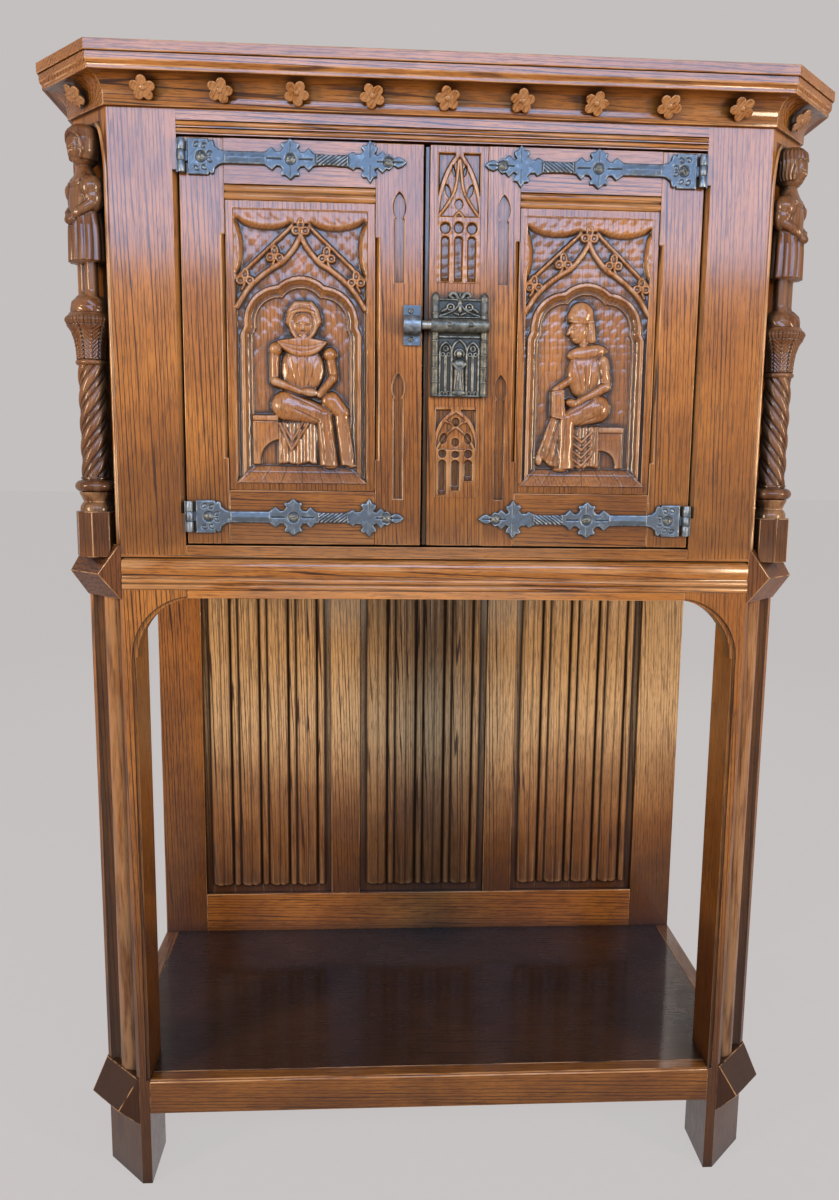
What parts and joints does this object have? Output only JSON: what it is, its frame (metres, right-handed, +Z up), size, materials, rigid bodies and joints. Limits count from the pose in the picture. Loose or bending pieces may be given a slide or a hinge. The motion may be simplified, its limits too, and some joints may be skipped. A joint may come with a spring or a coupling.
{
  "type": "vestry cabinet",
  "caption": "Gothic-style carved oak cupboard with hinged doors, strap hinges and a sliding lock bolt, raised on an open stand with a platform shelf and linenfold back.",
  "frame": {"origin": "on the floor under the middle of the cornice's bounding box", "axes": "+Z up, -Y the front with the doors, +X to the right when facing the doors"},
  "size_m": [1.114, 0.572, 1.65],
  "materials": {
    "carved_oak": "waxed, warm brown",
    "dark_oak": "dark stained boards",
    "blackened_iron": "blackened, worn",
    "bolt_steel": "dull, handled"
  },
  "bodies": {
    "carcass": {"back_bottom_rail": "carved_oak", "back_middle_rail": "carved_oak", "back_muntins": "carved_oak", "back_top_rail": "carved_oak", "belt_collars": "carved_oak", "belt_moulding": "carved_oak", "belt_rail": "carved_oak", "column_capitals": "carved_oak", "column_pedestals": "carved_oak", "cornice_back_board": "carved_oak", "cornice_cants": "carved_oak", "cornice_front": "carved_oak", "cornice_rosettes": "carved_oak", "cornice_sides": "carved_oak", "cupboard_floor": "dark_oak", "cupboard_shelf": "dark_oak", "foot_collars": "carved_oak", "frieze_rail": "carved_oak", "hinge_pins": "blackened_iron", "left_figure": "carved_oak", "left_front_post": "carved_oak", "left_jamb_leaves": "blackened_iron", "left_linenfold_panel": "carved_oak", "left_rear_post": "carved_oak", "left_twisted_column": "carved_oak", "middle_linenfold_panel": "carved_oak", "niche_arches": "carved_oak", "platform_shelf": "dark_oak", "right_figure": "carved_oak", "right_front_post": "carved_oak", "right_jamb_leaves": "blackened_iron", "right_linenfold_panel": "carved_oak", "right_rear_post": "carved_oak", "right_twisted_column": "carved_oak", "shelf_cleats": "dark_oak", "shelf_front_rail": "carved_oak", "side_belt_rails": "carved_oak", "side_panels": "carved_oak", "side_shelf_rails": "carved_oak", "side_top_rails": "carved_oak", "top_board": "carved_oak", "upper_back_board": "dark_oak"},
    "left_door": {"left_door_bottom_rail": "carved_oak", "left_door_hinge_stile": "carved_oak", "left_door_lock_stile": "carved_oak", "left_door_panel": "carved_oak", "left_door_top_rail": "carved_oak", "left_strap_hinges": "blackened_iron", "left_strap_screws": "blackened_iron", "keeper": "blackened_iron"},
    "right_door": {"right_door_bottom_rail": "carved_oak", "right_door_centre_board": "carved_oak", "right_door_hinge_stile": "carved_oak", "right_door_inner_stile": "carved_oak", "right_door_panel": "carved_oak", "right_door_top_rail": "carved_oak", "right_strap_hinges": "blackened_iron", "right_strap_screws": "blackened_iron", "lock_plate": "blackened_iron"},
    "bolt": {"lock_bolt": "bolt_steel"}
  },
  "joints": [
    {"name": "left_door_hinge", "type": "hinge", "parent": "carcass", "child": "left_door", "pos_m": [-0.355, -0.25, 1.28], "axis": [0, 0, -1], "range_deg": [0, 160]},
    {"name": "right_door_hinge", "type": "hinge", "parent": "carcass", "child": "right_door", "pos_m": [0.355, -0.25, 1.28], "axis": [0, 0, 1], "range_deg": [0, 160]},
    {"name": "bolt_slide", "type": "slide", "parent": "right_door", "child": "bolt", "axis": [-1, 0, 0], "range_m": [-0.012, 0.022]}
  ]
}
